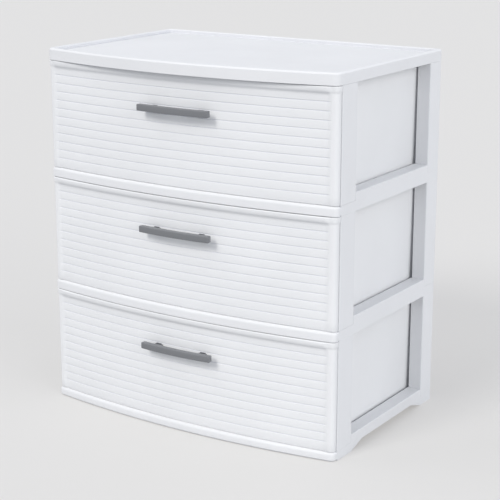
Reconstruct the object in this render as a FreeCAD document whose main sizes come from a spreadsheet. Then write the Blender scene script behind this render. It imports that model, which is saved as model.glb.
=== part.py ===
import FreeCAD, Part
import math
import operator
import os

import Sketcher

# Driving dimensions in millimetres. Y = 0 is the front plane of the corner posts, and the front faces -Y.
DIMENSIONS = {
    # Frame
    "frame_width": 556,
    "frame_depth": 332,
    "opening_height": 181,
    "wall": 2.6,
    "rear_corner_radius": 8,
    # Bowed lip of the base and the shelves
    "base_lip_height": 15.5,
    "shelf_lip_height": 16,
    "lip_reach": 35,
    "lip_end_reach": 11,
    "lip_corner_radius": 9,
    "lip_top_round": 5,
    "lip_bottom_chamfer": 3,
    # Deck of the base and the shelves, with its guide ledges
    "deck_drop": 3.5,
    "deck_thickness": 2.6,
    "ledge_height": 13,
    "ledge_width": 25,
    "rear_ledge_width": 9,
    "ledge_chamfer": 1,
    "runner_inset": 55,
    "runner_width": 10,
    "runner_end_gap": 5,
    # Ribs under the decks and the top
    "rib_thickness": 2,
    "rib_clearance": 1,
    "stop_rib_thickness": 2.5,
    # Relief under the sides of the base
    "arch_height": 11,
    "arch_ramp": 36,
    "arch_round": 10,
    # Top panel
    "top_height": 19.5,
    "top_reach": 46,
    "top_end_reach": 12,
    "top_corner_radius": 14,
    "top_edge_chamfer": 2.5,
    "tray_depth": 6,
    "tray_rim": 9,
    "tray_corner_radius": 7,
    "tray_rim_chamfer": 1,
    # Corner posts
    "post_width": 23,
    "post_depth": 44,
    "post_round": 2,
    "post_rib_thickness": 2,
    "plug_length": 7,
    "plug_margin": 5,
    "plug_clearance": 0.3,
    # Bowed front of a drawer
    "front_side_gap": 3.5,
    "front_reach": 31,
    "front_end_reach": 10,
    "front_back_gap": 1.6,
    "front_top_gap": 2.3,
    "drawer_lift": 1.2,
    "front_corner_radius": 8,
    "front_top_chamfer": 1.4,
    "front_bottom_chamfer": 1,
    "front_skin": 4,
    "bead_height": 3.6,
    "cove_slope": 4.8,
    "cove_floor": 1,
    "cove_height": 8.6,
    "cove_depth": 2.2,
    "cove_end": 11,
    "reed_pitch": 14.2,
    "reed_margin": 15.5,
    "reed_groove_width": 2.4,
    "reed_groove_depth": 1.1,
    "reed_end": 9,
    "wing_recess": 4.5,
    # Tub of a drawer
    "tub_side_gap": 1.5,
    "tub_rear_gap": 3,
    "tub_top_gap": 5,
    "tub_draft": 2.5,
    "tub_wall": 2.4,
    "tub_corner_radius": 10,
    "tub_bottom_chamfer": 2.5,
    "tub_rim_reach": 1.5,
    "tub_rim_height": 3,
    "slide_clearance": 0.3,
    # Stops that hold a pulled drawer
    "drawer_travel": 215,
    "stop_clearance": 0.5,
    "tab_width": 26,
    "tab_thickness": 5,
    "tab_height": 9,
    # Handle
    "handle_length": 136,
    "handle_height": 11.5,
    "handle_thickness": 8,
    "handle_reach": 20,
    "handle_arch": 4,
    "handle_end_chamfer": 2.4,
    "handle_chamfer": 1.8,
    "handle_level": 122,
    "leg_offset": 44,
    "leg_width": 16,
    "leg_height": 8,
    "peg_width": 9,
    "peg_thickness": 2.4,
    "peg_clearance": 0.25,
    "barb_length": 5,
    "barb_reach": 1.2,
    "seat_gap": 0.3,
    # How far a cut runs past the material
    "overrun": 2,
}
REEDS = 11
RIBS = 8
POST_RIBS = 3
LEVELS = ("lower", "middle", "upper")

# How closely a computed point has to match a named one
TOLERANCE = 0.0001

OPERATIONS = {"+": operator.add, "-": operator.sub, "*": operator.mul, "/": operator.truediv}

document = FreeCAD.newDocument("DrawerTower")
sheet = document.addObject("Spreadsheet::Sheet", "Dimensions")
for row, (alias, number) in enumerate(DIMENSIONS.items(), 1):
    sheet.set("A%d" % row, alias)
    sheet.set("B%d" % row, str(number))
    sheet.setAlias("B%d" % row, alias)
document.recompute()


class Size:
    """A length with the expression that ties it to the sheet."""

    def __init__(self, number, text):
        self.number = number
        self.text = text

    def __add__(self, other):
        return joined(self, "+", other)

    def __sub__(self, other):
        return joined(self, "-", other)

    def __mul__(self, other):
        return joined(self, "*", other)

    def __truediv__(self, other):
        return joined(self, "/", other)

    def __neg__(self):
        return joined(0, "-", self)


def joined(first, sign, second):
    first, second = [one if isinstance(one, Size) else Size(one, str(one)) for one in (first, second)]
    text = "(%s %s %s)" % (first.text, sign, second.text)
    return Size(OPERATIONS[sign](first.number, second.number), text)


def root(size):
    return Size(math.sqrt(size.number), "sqrt(%s)" % size.text)


def angle_of(size):
    """The angle in degrees whose sine is size."""
    return Size(math.degrees(math.asin(size.number)), "asin(%s)" % size.text)


class Named:
    """Every dimension of the sheet as a Size."""


d = Named()
for alias, number in DIMENSIONS.items():
    setattr(d, alias, Size(number, "Dimensions." + alias))
ZERO = d.wall - d.wall


class Bow:
    """The arc in plan that a bowed front follows, symmetric about X = 0."""

    def __init__(self, half_width, reach, end_reach):
        rise = reach - end_reach
        self.radius = (half_width * half_width + rise * rise) / (rise * 2)
        self.centre = self.radius - reach

    def y(self, inset, x):
        """Y of the bow, moved back by inset, at a distance x from the middle."""
        radius = self.radius - inset
        return self.centre - root(radius * radius - x * x)


# Values that several pieces share
half_width = d.frame_width / 2
half_front = half_width - d.front_side_gap
lip_bow = Bow(half_width, d.lip_reach, d.lip_end_reach)
top_bow = Bow(half_width, d.top_reach, d.top_end_reach)
front_bow = Bow(half_front, d.front_reach, d.front_end_reach)
ledge_inside = half_width - d.ledge_width
post_inside = half_width - d.post_width
rear_post_front = d.frame_depth - d.post_depth
rear_ledge_front = d.frame_depth - d.rear_ledge_width
half_tub = ledge_inside - d.tub_side_gap
tub_rear = rear_ledge_front - d.tub_rear_gap
tub_height = d.opening_height - d.tub_top_gap
level_pitch = d.opening_height + d.shelf_lip_height
handle_front = d.front_reach + d.handle_reach
back_shift = (handle_front - d.frame_depth) / 2
tab_front = tub_rear - d.tab_thickness
stop_rib_back = tab_front - d.drawer_travel - d.stop_clearance
front_top = d.opening_height - d.front_top_gap
rib_pitch = ledge_inside * 2 / (RIBS + 1)
tab_offset = rib_pitch * 2
tub_floor = d.drawer_lift + d.tub_wall
peg_rise = d.leg_height - d.wall / 2
bay_half = half_tub - d.tub_draft - d.tub_wall
bay_front = front_bow.y(d.front_skin, bay_half)


def bind(thing, path, size):
    thing.setExpression(path, size.text)


def new_body(name):
    body = document.addObject("PartDesign::Body", name)
    body.Label = name
    return body


def new_sketch(body, plane, offset=None, aside=None):
    """A sketch on an origin plane. offset lifts it along the plane's normal, aside slides it along its X."""
    sketch = body.newObject("Sketcher::SketchObject", "Sketch")
    found = [one for one in body.Origin.OriginFeatures if one.Role == plane]
    sketch.AttachmentSupport = (found[0], [""])
    sketch.MapMode = "FlatFace"
    if offset is not None:
        bind(sketch, ".AttachmentOffset.Base.z", offset)
    if aside is not None:
        bind(sketch, ".AttachmentOffset.Base.x", aside)
    return sketch


def constrain(sketch, kind, *places_and_size):
    size = places_and_size[-1]
    index = sketch.addConstraint(Sketcher.Constraint(kind, *places_and_size[:-1], size.number))
    sketch.setExpression("Constraints[%d]" % index, size.text)


def arc_between(start, end, radius, turn):
    """The shorter arc from start to end. turn is 1 when it runs anticlockwise, and -1 when clockwise."""
    chord = end - start
    height = math.sqrt(max(radius * radius - (chord.Length / 2) ** 2, 0))
    left = FreeCAD.Vector(-chord.y, chord.x, 0).normalize()
    centre = (start + end) / 2 + left * height * turn
    first, last = (start, end) if turn > 0 else (end, start)
    angles = [math.atan2(point.y - centre.y, point.x - centre.x) for point in (first, last)]
    return Part.ArcOfCircle(Part.Circle(centre, FreeCAD.Vector(0, 0, 1), radius), *angles)


def outline(sketch, *corners):
    """A closed outline. A corner is (x, y), or (x, y, radius, turn) where an arc leads to the next one."""
    points = [FreeCAD.Vector(corner[0].number, corner[1].number, 0) for corner in corners]
    ends = []
    for index, corner in enumerate(corners):
        start, end = points[index], points[(index + 1) % len(points)]
        if len(corner) == 2:
            ends.append((sketch.addGeometry(Part.LineSegment(start, end)), 1, 2))
            continue
        edge = sketch.addGeometry(arc_between(start, end, corner[2].number, corner[3]))
        ends.append((edge, 1, 2) if corner[3] > 0 else (edge, 2, 1))
    for index, corner in enumerate(corners):
        edge, start, _ = ends[index]
        before, _, end = ends[index - 1]
        sketch.addConstraint(Sketcher.Constraint("Coincident", before, end, edge, start))
        constrain(sketch, "DistanceX", -1, 1, edge, start, corner[0])
        constrain(sketch, "DistanceY", -1, 1, edge, start, corner[1])
        if len(corner) > 2:
            constrain(sketch, "Radius", edge, corner[2])


def rectangle(sketch, left, right, near, far):
    outline(sketch, (left, near), (right, near), (right, far), (left, far))


def both_sides(sketch, inner, outer, near, far):
    """The same rectangle on the right and, mirrored, on the left."""
    rectangle(sketch, inner, outer, near, far)
    rectangle(sketch, -outer, -inner, near, far)


def made(body, feature, volume_before, grows):
    """Recomputes and checks that the feature added or removed material as it should."""
    document.recompute()
    change = body.Shape.Volume - volume_before
    if not body.Shape.isValid() or (change > 0) != grows or abs(change) < TOLERANCE:
        raise SystemExit("%s of %s changed the volume by %.3f" % (feature.Label, body.Label, change))
    return feature


def volume(body):
    return 0 if body.Shape.isNull() else body.Shape.Volume


def extrude(body, sketch, length, kind, grows, reverse):
    before = volume(body)
    feature = body.newObject("PartDesign::" + kind, kind)
    feature.Profile = sketch
    feature.Reversed = reverse
    bind(feature, "Length", length)
    sketch.Visibility = False
    return made(body, feature, before, grows)


def pad(body, sketch, length, reverse=False):
    """Adds material along the sketch's normal, or against it when reversed."""
    return extrude(body, sketch, length, "Pad", True, reverse)


def pocket(body, sketch, length, reverse=False):
    """Cuts against the sketch's normal, or along it when reversed."""
    return extrude(body, sketch, length, "Pocket", False, reverse)


def turn_groove(body, sketch, angle):
    """Cuts the sketch round its own vertical axis, by an angle that its plane halves."""
    before = volume(body)
    feature = body.newObject("PartDesign::Groove", "Groove")
    feature.Profile = sketch
    feature.ReferenceAxis = (sketch, ["V_Axis"])
    feature.Midplane = True
    bind(feature, "Angle", angle)
    return made(body, feature, before, False)


def loft(body, low, high, kind, grows):
    before = volume(body)
    feature = body.newObject("PartDesign::" + kind, kind)
    feature.Profile = low
    feature.Sections = [high]
    feature.Ruled = True
    return made(body, feature, before, grows)


def dress_edges(body, kind, size_name, size, chosen):
    """Rounds or chamfers every edge of the body for which chosen(box) holds."""
    base = body.Tip
    names = ["Edge%d" % number for number, edge in enumerate(base.Shape.Edges, 1) if chosen(edge.BoundBox)]
    before = volume(body)
    feature = body.newObject("PartDesign::" + kind, kind)
    feature.Base = (base, names)
    bind(feature, size_name, size)
    document.recompute()
    if not names or not body.Shape.isValid() or body.Shape.Volume == before:
        raise SystemExit("%s of %s changed nothing" % (feature.Label, body.Label))


def round_edges(body, radius, chosen):
    dress_edges(body, "Fillet", "Radius", radius, chosen)


def chamfer_edges(body, size, chosen):
    dress_edges(body, "Chamfer", "Size", size, chosen)


def near(value, size):
    return abs(value - size.number) < TOLERANCE


def flat_at(box, size):
    """Whether an edge lies level at the height size."""
    return near(box.ZMin, size) and near(box.ZMax, size)


def upright(box, x, y):
    """Whether an edge stands upright at x or -x, and at y."""
    standing = box.ZLength > box.XLength + box.YLength
    return standing and near(abs(box.Center.x), x) and near(box.Center.y, y)


def inside(box, half, reach, rear):
    """Whether a box stays within half on both sides, reach in front and rear behind."""
    sides = max(abs(box.XMin), abs(box.XMax)) < half.number + TOLERANCE
    return sides and box.YMin > -reach.number - TOLERANCE and box.YMax < rear.number + TOLERANCE


def place(body, level):
    bind(body, "Placement.Base.y", back_shift)
    bind(body, "Placement.Base.z", level)


def bowed_plan(sketch, bow, half, rear):
    """A plan with a bowed front edge, straight sides and a straight rear edge."""
    end = bow.y(ZERO, half)
    outline(sketch, (-half, rear), (half, rear), (half, end, bow.radius, -1), (-half, end))


# Undersides, ribs and sockets, which the base, the shelves and the top share
def hollow_lip(body, bow, depth):
    """Hollows the bowed lip from below, in front of its cross wall."""
    half = half_width - d.top_corner_radius - d.wall
    end = bow.y(d.wall, half)
    sketch = new_sketch(body, "XY_Plane")
    outline(sketch, (-half, -d.wall), (half, -d.wall), (half, end, bow.radius - d.wall, -1), (-half, end))
    pocket(body, sketch, depth, reverse=True)


def hollow_underside(body, middle_depth, rail_depth):
    """Hollows the middle and the three rails from below, leaving walls of one thickness."""
    middle = new_sketch(body, "XY_Plane")
    rectangle(middle, -ledge_inside, ledge_inside, ZERO, rear_ledge_front)
    pocket(body, middle, middle_depth, reverse=True)
    rails = new_sketch(body, "XY_Plane")
    inner = ledge_inside + d.wall
    both_sides(rails, inner, half_width - d.wall, d.post_depth + d.wall, rear_post_front - d.wall)
    rectangle(rails, -ledge_inside, ledge_inside, rear_ledge_front + d.wall, d.frame_depth - d.wall)
    pocket(body, rails, rail_depth, reverse=True)


def rib_underside(body, roof):
    """Long ribs from front to back, and the cross rib that stops the drawer below."""
    long_rib = new_sketch(body, "XY_Plane", d.rib_clearance)
    half_rib = d.rib_thickness / 2
    for number in range(1, RIBS + 1):
        middle = rib_pitch * number - ledge_inside
        rectangle(long_rib, middle - half_rib, middle + half_rib, ZERO, rear_ledge_front)
    pad(body, long_rib, roof - d.rib_clearance)
    stop_rib = new_sketch(body, "XY_Plane", d.rib_clearance)
    rectangle(stop_rib, -ledge_inside, ledge_inside, stop_rib_back - d.stop_rib_thickness, stop_rib_back)
    pad(body, stop_rib, roof - d.rib_clearance)


def cut_sockets(body, height, depth, reverse=False):
    """The four sockets that the posts plug into."""
    sockets = new_sketch(body, "XY_Plane", height)
    inner, outer = post_inside + d.plug_margin, half_width - d.plug_margin
    both_sides(sockets, inner, outer, d.plug_margin, d.post_depth - d.plug_margin)
    both_sides(sockets, inner, outer, rear_post_front + d.plug_margin, d.frame_depth - d.plug_margin)
    pocket(body, sockets, depth, reverse)


# Base and shelves
def make_shelf(name, lip_height, level):
    """A deck behind a bowed bullnose lip, with guide ledges at its sides and its rear."""
    body = new_body(name)
    lip = new_sketch(body, "XY_Plane")
    bowed_plan(lip, lip_bow, half_width, ZERO)
    pad(body, lip, lip_height)
    lip_end = -d.lip_end_reach
    round_edges(body, d.lip_corner_radius, lambda box: upright(box, half_width, lip_end))
    round_edges(body, d.lip_top_round, lambda box: flat_at(box, lip_height) and box.YMin < -TOLERANCE)
    chamfer_edges(body, d.lip_bottom_chamfer, lambda box: flat_at(box, ZERO) and box.YMin < -TOLERANCE)

    block = new_sketch(body, "XY_Plane")
    rectangle(block, -half_width, half_width, ZERO, d.frame_depth)
    pad(body, block, lip_height)
    ledges = new_sketch(body, "XY_Plane", lip_height)
    both_sides(ledges, ledge_inside, half_width, d.post_depth, rear_post_front)
    rectangle(ledges, -post_inside, post_inside, rear_ledge_front, d.frame_depth)
    pad(body, ledges, d.ledge_height)
    ledge_top = lip_height + d.ledge_height
    chamfer_edges(body, d.ledge_chamfer, lambda box: flat_at(box, ledge_top))
    round_edges(body, d.rear_corner_radius, lambda box: upright(box, half_width, d.frame_depth))

    bay = new_sketch(body, "XY_Plane", lip_height)
    rectangle(bay, -ledge_inside, ledge_inside, ZERO, rear_ledge_front)
    pocket(body, bay, d.deck_drop)
    deck_bottom = lip_height - d.deck_drop - d.deck_thickness
    hollow_lip(body, lip_bow, lip_height - d.wall)
    hollow_underside(body, deck_bottom, ledge_top - d.wall)
    rib_underside(body, deck_bottom)
    if name == "base":
        cut_sockets(body, lip_height, d.plug_length + d.overrun)
        cut_arches(body)
    else:
        cut_sockets(body, lip_height, lip_height)

    runners = new_sketch(body, "XY_Plane", lip_height - d.deck_drop)
    outer = ledge_inside - d.runner_inset
    both_sides(runners, outer - d.runner_width, outer, d.runner_end_gap, rear_ledge_front - d.runner_end_gap)
    pad(body, runners, d.deck_drop + d.drawer_lift - d.slide_clearance)
    place(body, level)
    return body


def cut_arches(body):
    """The long relief under each side of the base, between its feet."""
    foot_front, foot_rear = d.post_depth, rear_post_front
    for side in (-1, 1):
        relief = new_sketch(body, "YZ_Plane", (half_width + d.overrun) * side)
        outline(relief, (foot_front, -d.overrun), (foot_rear, -d.overrun), (foot_rear, ZERO),
                (foot_rear - d.arch_ramp, d.arch_height), (foot_front + d.arch_ramp, d.arch_height),
                (foot_front, ZERO))
        pocket(body, relief, d.ledge_width + d.overrun, reverse=side < 0)
    round_edges(body, d.arch_round, lambda box: flat_at(box, d.arch_height) and box.YLength < TOLERANCE
                and near(max(abs(box.XMin), abs(box.XMax)), half_width))


# Top panel
def make_top(level):
    body = new_body("top_panel")
    plan = new_sketch(body, "XY_Plane")
    bowed_plan(plan, top_bow, half_width, d.frame_depth)
    pad(body, plan, d.top_height)
    round_edges(body, d.top_corner_radius, lambda box: upright(box, half_width, -d.top_end_reach))
    round_edges(body, d.rear_corner_radius, lambda box: upright(box, half_width, d.frame_depth))
    chamfer_edges(body, d.top_edge_chamfer, lambda box: flat_at(box, d.top_height))

    tray = new_sketch(body, "XY_Plane", d.top_height)
    half_tray = half_width - d.tray_rim
    tray_end = top_bow.y(d.tray_rim, half_tray)
    tray_rear = d.frame_depth - d.tray_rim
    outline(tray, (-half_tray, tray_rear), (half_tray, tray_rear),
            (half_tray, tray_end, top_bow.radius - d.tray_rim, -1), (-half_tray, tray_end))
    pocket(body, tray, d.tray_depth)
    round_edges(body, d.tray_corner_radius, lambda box: upright(box, half_tray, tray_end)
                or upright(box, half_tray, tray_rear))
    floor = d.top_height - d.tray_depth
    mouth = (half_tray, top_bow.radius - top_bow.centre - d.tray_rim, tray_rear)
    chamfer_edges(body, d.tray_rim_chamfer, lambda box: flat_at(box, d.top_height) and inside(box, *mouth))

    roof = floor - d.wall
    hollow_lip(body, top_bow, roof)
    hollow_underside(body, roof, roof)
    rib_underside(body, roof)
    cut_sockets(body, ZERO, d.plug_length + d.wall / 2, reverse=True)
    place(body, level)
    return body


# Corner posts
def make_post(name, side, front, level):
    """A channel open towards the drawers, with ribs inside and a plug at each end."""
    body = new_body(name)
    near_y = ZERO if front else rear_post_front
    far_y = near_y + d.post_depth
    left, right = (post_inside, half_width) if side > 0 else (-half_width, -post_inside)
    outside = half_width * side
    plan = new_sketch(body, "XY_Plane")
    rectangle(plan, left, right, near_y, far_y)
    pad(body, plan, d.opening_height)
    if front:
        round_edges(body, d.post_round, lambda box: upright(box, half_width, near_y))
    else:
        round_edges(body, d.rear_corner_radius, lambda box: upright(box, half_width, far_y))
        round_edges(body, d.post_round, lambda box: upright(box, half_width, near_y))

    bay_height = (d.opening_height - d.wall * 2 - d.post_rib_thickness * POST_RIBS) / (POST_RIBS + 1)
    channel = new_sketch(body, "YZ_Plane", (post_inside - d.overrun) * side)
    for step in range(POST_RIBS + 1):
        low = d.wall + (bay_height + d.post_rib_thickness) * step
        rectangle(channel, near_y + d.wall, far_y - d.wall, low, low + bay_height)
    pocket(body, channel, d.post_width - d.wall + d.overrun, reverse=side > 0)

    gap = d.plug_margin + d.plug_clearance
    for height, reverse in ((ZERO, True), (d.opening_height, False)):
        plug = new_sketch(body, "XY_Plane", height)
        rectangle(plug, left + gap, right - gap, near_y + gap, far_y - gap)
        pad(body, plug, d.plug_length, reverse)
    place(body, level)
    return body


# Drawers
def tub_plan(sketch, grow, shrink, front):
    """The tub's plan behind the line Y = front: its floor's, out by grow and in by shrink all round."""
    half = half_tub - d.tub_draft + grow - shrink
    rear = tub_rear - d.tub_draft + grow - shrink
    radius = d.tub_corner_radius - shrink
    outline(sketch, (half, rear - radius, radius, 1), (half - radius, rear),
            (radius - half, rear, radius, 1), (-half, rear - radius), (-half, front), (half, front))


def make_drawer(name, level):
    """A drafted tub moulded in one with its bowed, reeded front."""
    body = new_body(name)
    slab = new_sketch(body, "XY_Plane", d.drawer_lift)
    bowed_plan(slab, front_bow, half_front, -d.front_back_gap)
    pad(body, slab, front_top - d.drawer_lift)
    round_edges(body, d.front_corner_radius, lambda box: upright(box, half_front, -d.front_end_reach))
    back = -d.front_back_gap.number - TOLERANCE
    chamfer_edges(body, d.front_top_chamfer, lambda box: flat_at(box, front_top) and box.YMin < back)
    chamfer_edges(body, d.front_bottom_chamfer, lambda box: flat_at(box, d.drawer_lift) and box.YMin < back)
    cut_reeds(body)

    wings = new_sketch(body, "XZ_Plane", d.front_back_gap)
    both_sides(wings, half_tub + d.wall, half_front - d.wall,
               d.drawer_lift + d.wall, front_top - d.wall)
    pocket(body, wings, d.wing_recess, reverse=True)

    root_y = -d.front_back_gap - d.wall
    foot = new_sketch(body, "XY_Plane", d.drawer_lift)
    tub_plan(foot, ZERO, d.tub_bottom_chamfer, root_y)
    knee = new_sketch(body, "XY_Plane", d.drawer_lift + d.tub_bottom_chamfer)
    tub_plan(knee, ZERO, ZERO, root_y)
    loft(body, foot, knee, "AdditiveLoft", True)
    low = new_sketch(body, "XY_Plane", d.drawer_lift + d.tub_bottom_chamfer)
    tub_plan(low, ZERO, ZERO, root_y)
    high = new_sketch(body, "XY_Plane", tub_height)
    tub_plan(high, d.tub_draft, ZERO, root_y)
    loft(body, low, high, "AdditiveLoft", True)
    rim = new_sketch(body, "XY_Plane", tub_height - d.tub_rim_height)
    tub_plan(rim, d.tub_draft + d.tub_rim_reach, ZERO, root_y)
    pad(body, rim, d.tub_rim_height)
    hollow_tub(body)

    tabs = new_sketch(body, "XY_Plane", tub_height - d.tub_rim_height)
    both_sides(tabs, tab_offset - d.tab_width / 2, tab_offset + d.tab_width / 2, tab_front, tub_rear)
    pad(body, tabs, d.tub_rim_height + d.tab_height)
    slots = new_sketch(body, "XZ_Plane", d.front_reach + d.overrun)
    half_slot, half_rise = (d.peg_width / 2 + d.peg_clearance, peg_rise / 2 + d.peg_clearance)
    both_sides(slots, d.leg_offset - half_slot, d.leg_offset + half_slot,
               d.handle_level - half_rise, d.handle_level + half_rise)
    pocket(body, slots, d.front_reach + bay_front + d.overrun)
    place(body, level)
    return body


def hollow_tub(body):
    """The drafted inside of the tub, and the bowed space before it that leaves the front its skin."""
    floor = new_sketch(body, "XY_Plane", tub_floor)
    tub_plan(floor, ZERO, d.tub_wall, bay_front)
    mouth = new_sketch(body, "XY_Plane", tub_height)
    tub_plan(mouth, d.tub_draft, d.tub_wall, bay_front)
    loft(body, floor, mouth, "SubtractiveLoft", False)
    above = new_sketch(body, "XY_Plane", tub_height)
    tub_plan(above, d.tub_draft, d.tub_wall, bay_front)
    pocket(body, above, front_top - tub_height + d.overrun, reverse=True)
    bow = new_sketch(body, "XY_Plane", tub_floor)
    outline(bow, (bay_half, bay_front, front_bow.radius - d.front_skin, -1), (-bay_half, bay_front))
    pocket(body, bow, front_top - tub_floor + d.overrun, reverse=True)


def cut_reeds(body):
    """The fine grooves between the reeds and the cove under the top bead, turned about the bow's centre."""
    face, outside = -front_bow.radius, -front_bow.radius - d.overrun
    reeds = new_sketch(body, "YZ_Plane", aside=front_bow.centre)
    half_groove = d.reed_groove_width / 2
    for step in range(REEDS):
        middle = d.drawer_lift + d.reed_margin + d.reed_pitch * step
        outline(reeds, (outside, middle - half_groove), (face, middle - half_groove),
                (face + d.reed_groove_depth, middle), (face, middle + half_groove),
                (outside, middle + half_groove))
    turn_groove(body, reeds, angle_of((half_front - d.reed_end) / front_bow.radius) * 2)

    cove = new_sketch(body, "YZ_Plane", aside=front_bow.centre)
    bead_bottom, floor = front_top - d.bead_height, face + d.cove_depth
    outline(cove, (outside, bead_bottom), (face, bead_bottom), (floor, bead_bottom - d.cove_slope),
            (floor, bead_bottom - d.cove_slope - d.cove_floor), (face, bead_bottom - d.cove_height),
            (outside, bead_bottom - d.cove_height))
    turn_groove(body, cove, angle_of((half_front - d.cove_end) / front_bow.radius) * 2)


# Handles
def make_handle(name, level):
    """An arched bar on two legs, with two snap pegs behind each leg."""
    body = new_body(name)
    half = d.handle_length / 2
    arch = Bow(half, handle_front, handle_front - d.handle_arch)
    bottom = d.handle_level - d.handle_height / 2
    bar = new_sketch(body, "XY_Plane", bottom)
    outer, inner = arch.y(ZERO, half), arch.y(d.handle_thickness, half)
    outline(bar, (half, outer, arch.radius, -1), (-half, outer),
            (-half, inner, arch.radius - d.handle_thickness, 1), (half, inner))
    pad(body, bar, d.handle_height)
    chamfer_edges(body, d.handle_end_chamfer, lambda box: box.ZLength > box.XLength + box.YLength)
    top = d.handle_level + d.handle_height / 2
    chamfer_edges(body, d.handle_chamfer, lambda box: flat_at(box, top) or flat_at(box, bottom))

    seat = front_bow.y(ZERO, d.leg_offset - d.leg_width / 2) - d.seat_gap
    half_leg, half_rise = d.leg_width / 2, d.leg_height / 2
    legs = new_sketch(body, "XZ_Plane", -seat)
    both_sides(legs, d.leg_offset - half_leg, d.leg_offset + half_leg,
               d.handle_level - half_rise, d.handle_level + half_rise)
    bar_middle = handle_front - d.handle_arch - d.handle_thickness / 2
    pad(body, legs, bar_middle + seat)
    add_pegs(body, seat)
    place(body, level)
    return body


def add_pegs(body, seat):
    """A pair of flat barbed pegs behind each leg, one above the other, that spring apart behind the skin."""
    catch = front_bow.y(d.front_skin, d.leg_offset + d.peg_width / 2) + d.seat_gap
    tip = catch + d.barb_length
    outside, inside = peg_rise / 2, peg_rise / 2 - d.peg_thickness
    for side in (-1, 1):
        pegs = new_sketch(body, "YZ_Plane", d.leg_offset * side - d.peg_width / 2)
        for up in (-1, 1):
            middle = d.handle_level
            outline(pegs, (seat - d.overrun, middle + inside * up), (tip, middle + inside * up),
                    (catch, middle + (outside + d.barb_reach) * up), (catch, middle + outside * up),
                    (seat - d.overrun, middle + outside * up))
        pad(body, pegs, d.peg_width)


# Assembly, from the floor up
pieces = [make_shelf("base", d.base_lip_height, ZERO)]
opening = d.base_lip_height
for index, name in enumerate(LEVELS):
    for label, side in (("left", -1), ("right", 1)):
        for row_name, is_front in (("front", True), ("rear", False)):
            pieces.append(make_post("%s_%s_%s_post" % (name, row_name, label), side, is_front, opening))
    pieces.append(make_drawer(name + "_drawer", opening))
    pieces.append(make_handle(name + "_handle", opening))
    if name != LEVELS[-1]:
        pieces.append(make_shelf(name + "_shelf", d.shelf_lip_height, opening + d.opening_height))
    opening = opening + level_pitch
pieces.append(make_top(opening - d.shelf_lip_height))
document.recompute()

for item in document.Objects:
    if "Invalid" in item.State or "Error" in item.State:
        raise SystemExit("%s could not be computed: %s" % (item.Label, item.State))
os.makedirs("parts", exist_ok=True)
for piece in pieces:
    if piece.Shape.isNull() or not piece.Shape.isValid() or len(piece.Shape.Solids) != 1:
        raise SystemExit("%s is not one valid solid" % piece.Label)
for piece in pieces:
    piece.Shape.exportStep("parts/%s.step" % piece.Label)
print("%d pieces written" % len(pieces))
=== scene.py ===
import math

import bmesh
import bpy
from mathutils import Matrix, Vector


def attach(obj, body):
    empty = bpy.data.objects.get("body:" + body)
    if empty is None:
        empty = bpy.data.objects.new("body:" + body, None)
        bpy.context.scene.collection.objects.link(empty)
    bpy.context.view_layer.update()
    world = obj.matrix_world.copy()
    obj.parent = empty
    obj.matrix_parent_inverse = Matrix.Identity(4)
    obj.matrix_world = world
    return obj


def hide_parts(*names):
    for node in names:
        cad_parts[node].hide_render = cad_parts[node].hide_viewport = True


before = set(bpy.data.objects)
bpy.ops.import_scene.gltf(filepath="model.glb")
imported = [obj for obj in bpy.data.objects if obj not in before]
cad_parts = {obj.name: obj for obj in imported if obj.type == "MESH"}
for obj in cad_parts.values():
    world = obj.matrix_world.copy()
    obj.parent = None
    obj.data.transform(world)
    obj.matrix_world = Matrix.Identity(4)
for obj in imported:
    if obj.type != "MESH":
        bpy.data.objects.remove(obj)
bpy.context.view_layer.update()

# Sizes and places are in metres, and named angles in degrees. The front faces of the corner posts
# lie at Y = FRONT, and the drawers open towards -Y. A level is the height at which a drawer's
# opening starts.
FRONT = -0.1405
LEVELS = {"lower": 0.0155, "middle": 0.2125, "upper": 0.4095}
OPENING = 0.181
CORNERS = ("front_left", "front_right", "rear_left", "rear_right")

UP = Vector((0, 0, 1))
SAME_PLACE = 1e-6
NEAR_PLACE = 1e-5


class Bow:
    """The arc in plan that a bowed front follows, with its own centre."""

    def __init__(self, half_width, reach, end_reach):
        rise = reach - end_reach
        self.radius = (half_width ** 2 + rise ** 2) / (2 * rise)
        self.centre = Vector((0, FRONT + self.radius - reach, 0))

    def y(self, inset, x):
        return self.centre.y - math.sqrt((self.radius - inset) ** 2 - x ** 2)


# Mesh making
def verts_in(parts):
    return [part for part in parts if isinstance(part, bmesh.types.BMVert)]


def edges_in(parts):
    return [part for part in parts if isinstance(part, bmesh.types.BMEdge)]


def faces_in(parts):
    return [part for part in parts if isinstance(part, bmesh.types.BMFace)]


def everything(bm):
    return bm.verts[:] + bm.edges[:] + bm.faces[:]


def edges_of(verts):
    """The edges at the verts, each once, in the order they are found."""
    return list(dict.fromkeys(edge for vert in verts for edge in vert.link_edges))


def loop_through(bm, points):
    """A closed run of edges through the points."""
    verts = [bm.verts.new(point) for point in points]
    return verts + [bm.edges.new(pair) for pair in zip(verts, verts[1:] + verts[:1])]


def block(bm, low, high):
    """A box between two corners."""
    made = bmesh.ops.create_cube(bm, size=1)["verts"]
    low, high = Vector(low), Vector(high)
    bmesh.ops.scale(bm, vec=high - low, verts=made)
    bmesh.ops.translate(bm, vec=(low + high) / 2, verts=made)
    return made


def round_off(bm, edges, radius, segments):
    bmesh.ops.bevel(bm, geom=edges, offset=radius, segments=segments, profile=0.5,
                    affect="EDGES", material=-1, clamp_overlap=True)


def mirror_across(bm):
    bmesh.ops.mirror(bm, geom=everything(bm), axis="X", merge_dist=NEAR_PLACE)


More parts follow.
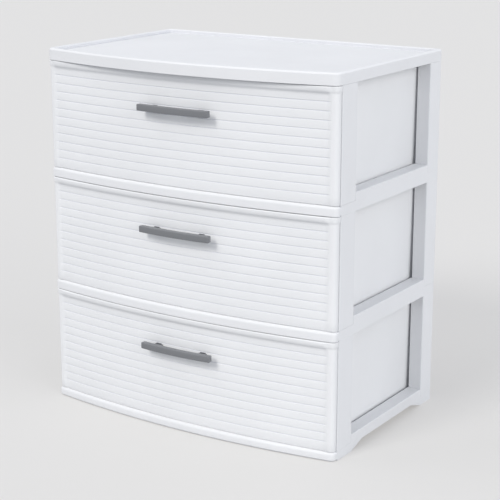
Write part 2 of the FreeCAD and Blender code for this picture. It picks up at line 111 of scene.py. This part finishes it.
def piece_from(bm, name, body, material, replaced, edge, smooth):
    """Turns a bmesh into a piece on its body, smooth up to an angle, its sharper edges eased."""
    for face in bm.faces:
        face.smooth = True
    for side in bm.edges:
        side.smooth = side.is_manifold and side.calc_face_angle(0) < math.radians(smooth)
    mesh = bpy.data.meshes.new(name)
    bm.to_mesh(mesh)
    bm.free()
    mesh.materials.append(material)
    piece = bpy.data.objects.new(name, mesh)
    bpy.context.scene.collection.objects.link(piece)
    if edge:
        bevel = piece.modifiers.new("soft edges", "BEVEL")
        bevel.width = edge
        bevel.segments = 2
        bevel.limit_method = "ANGLE"
        bevel.angle_limit = math.radians(smooth)
        bevel.harden_normals = True
        bevel.use_clamp_overlap = True
    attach(piece, body)
    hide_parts(*replaced)


# Materials. The sockets are a mix node's own numbers for its two colours, the painted shade and
# the plastic's own colour, and for their mix.
PAINTED_SHADE_SOCKET, COLOUR_SOCKET, MIXED_SOCKET = 6, 7, 2


def shader_nodes(name):
    material = bpy.data.materials.new(name)
    material.use_nodes = True
    tree = material.node_tree
    return material, tree, tree.nodes["Principled BSDF"]


def add(tree, kind, inputs=(), **settings):
    """One node, with its settings and its inputs set or linked."""
    node = tree.nodes.new(kind)
    for key, value in settings.items():
        setattr(node, key, value)
    for key, value in dict(inputs).items():
        if isinstance(value, bpy.types.NodeSocket):
            tree.links.new(value, node.inputs[key])
        else:
            node.inputs[key].default_value = value
    return node


def noise(tree, place, scale, detail, roughness=0.5):
    made = add(tree, "ShaderNodeTexNoise",
               {"Vector": place, "Scale": scale, "Detail": detail, "Roughness": roughness})
    return made.outputs["Fac"]


def spread_over(tree, value, low, high, from_low=0.3, from_high=0.7):
    """A value from one range, by default the usual range of a noise, brought to another."""
    made = add(tree, "ShaderNodeMapRange", {"Value": value, "From Min": from_low,
                                            "From Max": from_high, "To Min": low, "To Max": high})
    return made.outputs["Result"]


def moulded_plastic(name, colour, painted_shade, roughness, grain):
    """Satin moulded plastic: a clouded colour with painted shade that makes it cooler and darker
    in its crevices, a fine grain and faint rubbed patches."""
    material, tree, surface = shader_nodes(name)
    place = add(tree, "ShaderNodeTexCoord").outputs["Object"]
    clouds = noise(tree, place, scale=7.0, detail=3.0, roughness=0.55)
    lightness = spread_over(tree, clouds, 0.975, 1.01)
    # Painted shade: ambient occlusion mixes the colour towards a cooler, darker one in crevices
    # and hollows.
    shade = add(tree, "ShaderNodeAmbientOcclusion", {"Distance": 0.03}, samples=8, only_local=True)
    openness = spread_over(tree, shade.outputs["AO"], 0.0, 1.0, from_low=0.25, from_high=0.94)
    painted_shade_mix = add(tree, "ShaderNodeMix", {"Factor": openness, PAINTED_SHADE_SOCKET: (*painted_shade, 1),
                                       COLOUR_SOCKET: (*colour, 1)}, data_type="RGBA")
    clouded = add(tree, "ShaderNodeVectorMath", {0: painted_shade_mix.outputs[MIXED_SOCKET], 1: lightness},
                  operation="MULTIPLY")
    tree.links.new(clouded.outputs["Vector"], surface.inputs["Base Color"])
    rubbed = noise(tree, place, scale=38.0, detail=5.0, roughness=0.6)
    tree.links.new(spread_over(tree, rubbed, roughness - 0.05, roughness + 0.06),
                   surface.inputs["Roughness"])
    surface.inputs["Specular IOR Level"].default_value = 0.3
    fine = noise(tree, place, scale=grain, detail=2.0)
    broad = noise(tree, place, scale=22.0, detail=1.0)
    relief = add(tree, "ShaderNodeMath", {0: fine, 1: 0.12, 2: broad}, operation="MULTIPLY_ADD")
    bump = add(tree, "ShaderNodeBump",
               {"Height": relief.outputs["Value"], "Strength": 0.35, "Distance": 0.0004})
    tree.links.new(bump.outputs["Normal"], surface.inputs["Normal"])
    return material


# Each plastic's second colour is the painted shade that its crevices take.
white = moulded_plastic("white frame plastic", colour=(0.80, 0.803, 0.812),
                        painted_shade=(0.65, 0.66, 0.69), roughness=0.6, grain=900.0)
drawer_white = moulded_plastic("white drawer plastic", colour=(0.836, 0.839, 0.845),
                               painted_shade=(0.57, 0.59, 0.67), roughness=0.54, grain=900.0)
grey = moulded_plastic("grey handle plastic", colour=(0.195, 0.2, 0.21),
                       painted_shade=(0.12, 0.125, 0.14), roughness=0.34, grain=1400.0)

# Frame mouldings
FRAME_EDGE = 0.0006
FRAME_SMOOTH = 30
FLAT_ENOUGH = 0.4
LIP_CHAMFER = 0.003
LIP_MARGIN = 1e-4
CHAMFER_CUT_SHARE = 0.8
CHAMFER_LEAST = 0.8 * LIP_CHAMFER
CHAMFER_MOST = 1.05 * LIP_CHAMFER


def make_moulding(node, lip_bottom=None):
    """A CAD node's own shape with its edges eased the way a mould leaves them."""
    bm = bmesh.new()
    bm.from_mesh(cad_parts[node].data)
    bmesh.ops.remove_doubles(bm, verts=bm.verts, dist=NEAR_PLACE)
    if lip_bottom is not None:
        narrow_chamfer(bm, lip_bottom)
    bmesh.ops.dissolve_limit(bm, angle_limit=math.radians(FLAT_ENOUGH), verts=bm.verts,
                             edges=bm.edges)
    piece_from(bm, node + "_moulding", "frame", white, [node],
               edge=FRAME_EDGE, smooth=FRAME_SMOOTH)


def narrow_chamfer(bm, bottom):
    """Leaves a fine chamfer under a shelf's lip, where the solid has a wide one."""
    lip = [vert for vert in bm.verts if vert.co.y < FRONT]
    upper = [vert for vert in lip if abs(vert.co.z - bottom - LIP_CHAMFER) < LIP_MARGIN]
    lower = [vert for vert in lip if vert.co.z < bottom + (1 - CHAMFER_CUT_SHARE) * LIP_CHAMFER]
    for vert in lower:
        above = min(upper, key=lambda other: (other.co - vert.co).length)
        step = above.co - vert.co
        step.z = 0
        if CHAMFER_LEAST < step.length < CHAMFER_MOST:
            vert.co += CHAMFER_CUT_SHARE * step
    bmesh.ops.translate(bm, vec=(0, 0, -CHAMFER_CUT_SHARE * LIP_CHAMFER), verts=upper)


# Drawer fronts. Heights count from the drawer's level, and depths go in from the bowed face.
FRONT_FOOT = 0.0005
FRONT_TOP = 0.1802
HALF_FRONT = 0.2763
FRONT_CORNER = 0.008
FRONT_BACK_GAP = 0.0008
SKIN = 0.0040
FACE_MARGIN = 0.001
REEDS = 11
REED_PITCH = 0.0140
FIRST_REED = 0.0167
REED_END = 0.2583
BORDER = 0.008
REED_DEPTH = 0.0018
FOOT_BAND = 0.009
BEAD = 0.0037
BEAD_BAND = 0.0042
BEAD_THINNING = 0.6
FIELD_STEPS = 40
BORDER_STEPS = 10
CORNER_STEPS = 7
front_bow = Bow(HALF_FRONT, reach=0.031, end_reach=0.010)

# Sections as (depth, height): the rounded foot, a groove about the middle of its mouth, and the
# cove and the bead below the top.
FOOT_ROUND = ((0.0008, 0.0), (0.0003, 0.0002), (0.0, 0.0008))
GROOVE = ((0.0, -0.0013), (0.00006, -0.0009), (0.00026, -0.00065), (0.00056, -0.00046),
          (0.00074, -0.00028), (0.0008, 0.0), (0.00074, 0.00028), (0.00056, 0.00046),
          (0.00026, 0.00065), (0.00006, 0.0009), (0.0, 0.0013))
COVE_AND_BEAD = ((0.0018, -0.0156), (0.0017, -0.0142), (0.0014, -0.0129), (0.0009, -0.0118),
                 (0.0002, -0.0108), (-0.0006, -0.0100), (-0.0014, -0.0092), (-0.0021, -0.0083),
                 (-0.0026, -0.0073), (-0.0030, -0.0062), (-0.0033, -0.0051), (-0.0035, -0.0040),
                 (-0.0036, -0.0030), (-0.0037, -0.0021), (-0.0037, -0.0012), (-0.0035, -0.0006),
                 (-0.0030, -0.0002), (-0.0023, 0.0))


def front_section():
    """The front's section from its foot to its top, as (depth, height), heights from the foot."""
    section = list(FOOT_ROUND)
    for number in range(REEDS):
        middle = FIRST_REED + REED_PITCH * number - FRONT_FOOT
        section += [(depth, middle + height) for depth, height in GROOVE]
    section = [(REED_DEPTH + depth, height) for depth, height in section]
    section += [(depth, FRONT_TOP - FRONT_FOOT + height) for depth, height in COVE_AND_BEAD]
    return section + [(SKIN, FRONT_TOP - FRONT_FOOT), (SKIN, 0.0)]


def sweep(bm, section, centre, angle, steps):
    """Turns the section about an upright axis and returns where it ends."""
    return bmesh.ops.spin(bm, geom=section, cent=centre, axis=UP, angle=angle,
                          steps=steps)["geom_last"]


def add_front(bm, level):
    """The bowed, reeded front: its section swept round the bow, then round its corner, drawn
    back to the posts and mirrored."""
    foot = level + FRONT_FOOT
    face = front_bow.centre.y - front_bow.radius
    swept = loop_through(bm, [(0, face + depth, foot + height)
                              for depth, height in front_section()])
    corner_radius = front_bow.radius - FRONT_CORNER
    turn = math.asin((HALF_FRONT - FRONT_CORNER) / corner_radius)
    field = math.asin(REED_END / front_bow.radius)
    swept = sweep(bm, swept, front_bow.centre, field, FIELD_STEPS)
    swept = sweep(bm, swept, front_bow.centre, turn - field, BORDER_STEPS)
    fade_to_corner(bm, level)
    corner = front_bow.centre + Vector((HALF_FRONT - FRONT_CORNER,
                                        -corner_radius * math.cos(turn), 0))
    swept = sweep(bm, swept, corner, math.pi / 2 - turn, CORNER_STEPS)
    drawn_back = bmesh.ops.extrude_edge_only(bm, edges=edges_in(swept))
    last = verts_in(drawn_back["geom"])
    for vert in last:
        vert.co.y = FRONT - FRONT_BACK_GAP
    rim = [edge for edge in edges_of(last)
           if edge.is_boundary and edge.verts[0] in last and edge.verts[1] in last]
    bmesh.ops.holes_fill(bm, edges=rim)
    mirror_across(bm)
    bmesh.ops.remove_doubles(bm, verts=bm.verts, dist=SAME_PLACE)


def fade_to_corner(bm, level):
    """Lets the reeds and the cove run out, and the bead thin, before the rounded corner."""
    for vert in bm.verts:
        out = vert.co - front_bow.centre
        out.z = 0
        depth = front_bow.radius - out.length
        left = min(max((REED_END + BORDER - vert.co.x) / BORDER, 0), 1)
        gone = 1 - left * left * (3 - 2 * left)
        on_face = depth < SKIN - FACE_MARGIN
        if on_face and vert.co.z > level + FRONT_TOP - BEAD_BAND:
            vert.co -= out.normalized() * BEAD_THINNING * BEAD * gone
        elif depth < 0:
            vert.co += out.normalized() * depth * BEAD_THINNING * gone
        elif on_face:
            reeded = vert.co.z > level + FOOT_BAND
            vert.co += out.normalized() * (depth if reeded else REED_DEPTH) * gone


# Drawer tubs. The draft spreads a tub from a line a little in front of the posts.
DRAWER_LIFT = 0.0012
TUB_HALF = 0.249
TUB_BACK = 0.3175
TUB_TOP = 0.176
TUB_INSET = 0.0031
TUB_CORNER = 0.020
TUB_WALL = 0.0024
TUB_FLOOR = 0.0036
TUB_DRAFT = 0.0025
DRAFT_START = 0.010
BOW_CUTS = 47
TUB_CORNER_SEGMENTS = 9
INSIDE_ROUND, INSIDE_SEGMENTS = 0.005, 4
FOOT_EDGE_ROUND, FOOT_EDGE_SEGMENTS = 0.003, 3
RIM_HEIGHT = 0.003
RIM_REACH = 0.0015
# A face looks sideways when its normal's X is over the first, and is upright when the Z is under
# the second.
SIDEWAYS_NORMAL, UPRIGHT_NORMAL = 0.5, 0.3
# The tabs on the rear rim stand two rib spacings from the middle, so that they pass between the
# ribs under the moulding above.
ROOF_RIBS = 8
RIBBED_WIDTH = 0.5060
TAB_OFFSET = RIBBED_WIDTH / (ROOF_RIBS + 1) * 2
TAB_HALF = 0.013
TAB_FRONT, TAB_BACK = 0.315, 0.320
TAB_RISE = 0.009
# The rims along the head and the foot of each wing, outside the tub.
WING_INNER, WING_OUTER = 0.2535, 0.2708
WING_FRONT, WING_BACK = 0.0095, 0.0016
WING_RIM = 0.0026
DRAWER_EDGE = 0.0005
DRAWER_SMOOTH = 40


def tub_plan(bm, back, height):
    """The tub's plan as one face: a bowed front edge, straight sides and round rear corners."""
    front = front_bow.y(TUB_INSET, TUB_HALF)
    plan = loop_through(bm, [(-TUB_HALF, back, height), (-TUB_HALF, front, height),
                             (TUB_HALF, front, height), (TUB_HALF, back, height)])
    face = bmesh.ops.contextual_create(bm, geom=plan)["faces"][0]
    front_edge = min(face.edges, key=lambda edge: edge.verts[0].co.y + edge.verts[1].co.y)
    added = bmesh.ops.subdivide_edges(bm, edges=[front_edge], cuts=BOW_CUTS)["geom_inner"]
    for vert in verts_in(added):
        vert.co.y = front_bow.y(TUB_INSET, vert.co.x)
    rear = [vert for vert in bm.verts if abs(vert.co.y - back) < SAME_PLACE]
    bmesh.ops.bevel(bm, geom=rear, offset=TUB_CORNER, segments=TUB_CORNER_SEGMENTS, profile=0.5,
                    affect="VERTICES", material=-1)
    return bm.faces[:]


def add_tub(bm, level):
    """The tapered tub: its plan drawn up, walled by an inset, drawn down to its floor, and given
    its rim and its tabs."""
    tub = bmesh.new()
    foot, top = level + DRAWER_LIFT, level + TUB_TOP
    back = FRONT + TUB_BACK
    draft_line = Vector((0, FRONT - DRAFT_START, 0))
    about_draft_line = Matrix.Translation(-draft_line)
    spread = Vector((1 + TUB_DRAFT / TUB_HALF,
                     1 + TUB_DRAFT / (back - (FRONT - DRAFT_START)), 1))
    bottom = tub_plan(tub, back, foot)
    raised = bmesh.ops.extrude_face_region(tub, geom=bottom)["geom"]
    bmesh.ops.translate(tub, vec=(0, 0, top - foot), verts=verts_in(raised))
    bmesh.ops.scale(tub, vec=spread, space=about_draft_line, verts=verts_in(raised))
    mouth = faces_in(raised)
    bmesh.ops.inset_region(tub, faces=mouth, thickness=TUB_WALL, use_even_offset=True,
                           use_boundary=True)
    sunk = bmesh.ops.extrude_face_region(tub, geom=mouth)["geom"]
    bmesh.ops.delete(tub, geom=mouth, context="FACES_ONLY")
    bmesh.ops.translate(tub, vec=(0, 0, -(TUB_TOP - TUB_FLOOR)), verts=verts_in(sunk))
    bmesh.ops.scale(tub, vec=Vector((1 / spread.x, 1 / spread.y, 1)), space=about_draft_line,
                    verts=verts_in(sunk))
    round_off(tub, edges_in(sunk), INSIDE_ROUND, INSIDE_SEGMENTS)
    foot_edges = [edge for edge in tub.edges if not edge.is_boundary
                  and all(abs(vert.co.z - foot) < SAME_PLACE for vert in edge.verts)]
    round_off(tub, foot_edges, FOOT_EDGE_ROUND, FOOT_EDGE_SEGMENTS)
    add_rim(tub, top)
    for side in (-1, 1):
        middle = side * TAB_OFFSET
        block(tub, (middle - TAB_HALF, FRONT + TAB_FRONT, top - RIM_HEIGHT),
              (middle + TAB_HALF, FRONT + TAB_BACK, top + TAB_RISE))
    mesh = bpy.data.meshes.new("tub")
    tub.to_mesh(mesh)
    tub.free()
    bm.from_mesh(mesh)
    bpy.data.meshes.remove(mesh)


def add_rim(tub, top):
    """The raised band round the top of the tub, behind the front."""
    band = top - RIM_HEIGHT
    bmesh.ops.bisect_plane(tub, geom=everything(tub), plane_co=(0, 0, band), plane_no=UP)
    tub.normal_update()
    outer = []
    for face in tub.faces:
        centre = face.calc_center_median()
        sideways = abs(face.normal.x) > SIDEWAYS_NORMAL
        outwards = face.normal.x * centre.x > 0 if sideways else face.normal.y > 0
        upright = abs(face.normal.z) < UPRIGHT_NORMAL
        if outwards and upright and centre.z > band and centre.y > FRONT:
            outer.append(face)
    raised = bmesh.ops.extrude_face_region(tub, geom=outer)["geom"]
    tub.normal_update()
    for vert in verts_in(raised):
        level_normal = Vector((vert.normal.x, vert.normal.y, 0)).normalized()
        vert.co += level_normal * RIM_REACH
    bmesh.ops.delete(tub, geom=outer, context="FACES_ONLY")


def add_wing_rims(bm, level):
    for side in (-1, 1):
        near, far = sorted((side * WING_INNER, side * WING_OUTER))
        for low in (level + FRONT_FOOT, level + FRONT_TOP - WING_RIM):
            block(bm, (near, FRONT - WING_FRONT, low), (far, FRONT - WING_BACK, low + WING_RIM))


def make_drawer(name, level):
    bm = bmesh.new()
    add_front(bm, level)
    add_tub(bm, level)
    add_wing_rims(bm, level)
    bmesh.ops.recalc_face_normals(bm, faces=bm.faces)
    piece_from(bm, name + "_drawer_moulding", name + "_drawer", drawer_white,
               [name + "_drawer"], edge=DRAWER_EDGE, smooth=DRAWER_SMOOTH)


# Handles. The bar is arched, and two flat barbed pegs behind each leg hold it to the front.
BAR_HALF = 0.068
BAR_HEIGHT = 0.0106
BAR_THICKNESS = 0.0095
BAR_LEVEL = 0.1245
BAR_STEPS = 14
BAR_ROUND, BAR_SEGMENTS = 0.0015, 4
LEG_OFFSET = 0.044
LEG_HALF = 0.008
LEG_FRONT = 0.044
LEG_BELOW, LEG_ABOVE = 0.0046, 0.0020
LEG_ROUND, LEG_SEGMENTS = 0.0016, 3
LEG_LONG_EDGE = 0.005
HANDLE_GAP = 0.0003
PEG_HALF = 0.0045
PEG_INNER, PEG_OUTER = 0.00095, 0.00335
PEG_ROOT = 0.002
BARB_LENGTH = 0.005
BARB_RISE = 0.0012
HANDLE_SHARP = 40
HANDLE_SMOOTH = 50
bar_bow = Bow(BAR_HALF, reach=0.051, end_reach=0.047)


def make_handle(name, level):
    """The arched bar, its two legs and the pegs behind them."""
    bm = bmesh.new()
    middle = level + BAR_LEVEL
    add_bar(bm, middle)
    seat = front_bow.y(REED_DEPTH, LEG_OFFSET - LEG_HALF) - HANDLE_GAP
    for side in (-1, 1):
        x = side * LEG_OFFSET
        leg = block(bm, (x - LEG_HALF, FRONT - LEG_FRONT, middle - LEG_BELOW),
                    (x + LEG_HALF, seat, middle + LEG_ABOVE))
        lengthwise = [edge for edge in edges_of(leg)
                      if abs(edge.verts[0].co.y - edge.verts[1].co.y) > LEG_LONG_EDGE]
        round_off(bm, lengthwise, LEG_ROUND, LEG_SEGMENTS)
        for up in (-1, 1):
            add_peg(bm, x, middle, up, seat)
    bmesh.ops.remove_doubles(bm, verts=bm.verts, dist=SAME_PLACE)
    bmesh.ops.recalc_face_normals(bm, faces=bm.faces)
    piece_from(bm, name + "_handle_bar", name + "_drawer", grey,
               [name + "_handle"], edge=0, smooth=HANDLE_SMOOTH)


def add_bar(bm, middle):
    """The bar: its section swept from the middle to one end, closed, mirrored and rounded."""
    face = bar_bow.centre.y - bar_bow.radius
    back = face + BAR_THICKNESS
    low, high = middle - BAR_HEIGHT / 2, middle + BAR_HEIGHT / 2
    section = loop_through(bm, [(0, face, low), (0, face, high), (0, back, high), (0, back, low)])
    turn = math.asin(BAR_HALF / bar_bow.radius)
    end = sweep(bm, section, bar_bow.centre, turn, BAR_STEPS)
    bmesh.ops.contextual_create(bm, geom=edges_in(end))
    mirror_across(bm)
    bmesh.ops.recalc_face_normals(bm, faces=bm.faces)
    sharp = [edge for edge in bm.edges
             if edge.is_manifold and edge.calc_face_angle(0) > math.radians(HANDLE_SHARP)]
    round_off(bm, sharp, BAR_ROUND, BAR_SEGMENTS)


def add_peg(bm, x, middle, up, seat):
    """A flat peg that goes through the front, with a barb that catches behind the tub's wall."""
    catch = front_bow.y(TUB_INSET + TUB_WALL, LEG_OFFSET + PEG_HALF) + HANDLE_GAP
    inner, outer = middle + up * PEG_INNER, middle + up * PEG_OUTER
    near = x - PEG_HALF
    profile = loop_through(bm, [(near, seat - PEG_ROOT, inner), (near, catch + BARB_LENGTH, inner),
                                (near, catch, outer + up * BARB_RISE), (near, catch, outer),
                                (near, seat - PEG_ROOT, outer)])
    side = bmesh.ops.contextual_create(bm, geom=profile)["faces"]
    far = bmesh.ops.extrude_face_region(bm, geom=side)["geom"]
    bmesh.ops.translate(bm, vec=(2 * PEG_HALF, 0, 0), verts=verts_in(far))


for name, level in LEVELS.items():
    make_drawer(name, level)
    make_handle(name, level)
for node in ("base", "top_panel"):
    make_moulding(node)
for name in ("lower", "middle"):
    make_moulding(name + "_shelf", LEVELS[name] + OPENING)
for name in LEVELS:
    for corner in CORNERS:
        make_moulding("%s_%s_post" % (name, corner))


# Floor, light and camera
FLOOR_RADIUS = 40
FLOOR_SEGMENTS = 96
CAMERA_PLACE = (1.3091, -1.9706, 0.9014)
CAMERA_HEADING = 33.12
CAMERA_TILT = 75.05


def seen_by_camera(tree):
    """1 for what the camera sees, straight or through gloss and glass, and 0 for the light that
    falls on things."""
    path = add(tree, "ShaderNodeLightPath")
    seen = path.outputs["Is Camera Ray"]
    for ray in ("Is Glossy Ray", "Is Transmission Ray"):
        seen = add(tree, "ShaderNodeMath", {0: seen, 1: path.outputs[ray]},
                   operation="MAXIMUM").outputs[0]
    return seen


def make_floor(bounce, shaded, glow):
    """A pale floor. It throws light back as bounce says, and to the camera it is darker by
    itself, with a glow that makes up its tone and softens the shadows."""
    bm = bmesh.new()
    bmesh.ops.create_circle(bm, cap_ends=True, segments=FLOOR_SEGMENTS, radius=FLOOR_RADIUS)
    mesh = bpy.data.meshes.new("floor")
    bm.to_mesh(mesh)
    bm.free()
    material, tree, surface = shader_nodes("pale floor")
    seen = seen_by_camera(tree)
    tone = add(tree, "ShaderNodeMapRange", {"Value": seen, "To Min": bounce, "To Max": shaded})
    tree.links.new(tone.outputs["Result"], surface.inputs["Base Color"])
    surface.inputs["Roughness"].default_value = 0.9
    surface.inputs["Specular IOR Level"].default_value = 0.0
    surface.inputs["Emission Color"].default_value = (*glow, 1)
    tree.links.new(seen, surface.inputs["Emission Strength"])
    mesh.materials.append(material)
    floor = bpy.data.objects.new("floor", mesh)
    bpy.context.scene.collection.objects.link(floor)


def make_lamp(name, azimuth, elevation, strength, spread, colour):
    """A far soft lamp. Azimuth is measured from the front, positive to the right."""
    lamp = bpy.data.lights.new(name, "SUN")
    lamp.energy = strength
    lamp.angle = math.radians(spread)
    lamp.color = colour
    holder = bpy.data.objects.new(name, lamp)
    bearing, height = math.radians(azimuth), math.radians(elevation)
    towards = Vector((math.sin(bearing) * math.cos(height), -math.cos(bearing) * math.cos(height),
                      math.sin(height)))
    holder.rotation_euler = towards.to_track_quat("Z", "Y").to_euler()
    bpy.context.scene.collection.objects.link(holder)


def make_world(light, backdrop):
    """An even surround that lights at one level and is seen at another."""
    world = bpy.data.worlds.new("studio")
    bpy.context.scene.world = world
    world.use_nodes = True
    tree = world.node_tree
    tree.nodes.clear()
    lit = add(tree, "ShaderNodeBackground", {"Color": (*light, 1)})
    shown = add(tree, "ShaderNodeBackground", {"Color": (*backdrop, 1)})
    mix = add(tree, "ShaderNodeMixShader",
              {0: seen_by_camera(tree), 1: lit.outputs[0], 2: shown.outputs[0]})
    add(tree, "ShaderNodeOutputWorld", {"Surface": mix.outputs[0]})


def make_camera():
    camera = bpy.data.cameras.new("camera")
    camera.lens = 103.78
    camera.sensor_width = 36
    camera.clip_end = 100
    holder = bpy.data.objects.new("camera", camera)
    bpy.context.scene.collection.objects.link(holder)
    heading = Matrix.Rotation(math.radians(CAMERA_HEADING), 4, "Z")
    tilt = Matrix.Rotation(math.radians(CAMERA_TILT), 4, "X")
    holder.matrix_world = Matrix.Translation(CAMERA_PLACE) @ (heading @ tilt)
    bpy.context.scene.camera = holder


make_floor(bounce=0.50, shaded=0.38, glow=(0.380, 0.371, 0.358))
make_world(light=(0.458, 0.488, 0.556), backdrop=(0.775, 0.775, 0.775))
make_lamp("key", azimuth=-13, elevation=39, strength=1.46, spread=20, colour=(1.0, 0.98, 0.94))
make_lamp("overhead", azimuth=-75, elevation=52, strength=0.45, spread=40,
          colour=(1.0, 0.985, 0.95))
make_lamp("side_fill", azimuth=76, elevation=9, strength=1.8, spread=60,
          colour=(1.0, 0.995, 0.98))
make_lamp("back_fill", azimuth=160, elevation=10, strength=0.5, spread=50,
          colour=(1.0, 0.99, 0.97))
make_camera()
bpy.context.scene.view_settings.view_transform = "Standard"
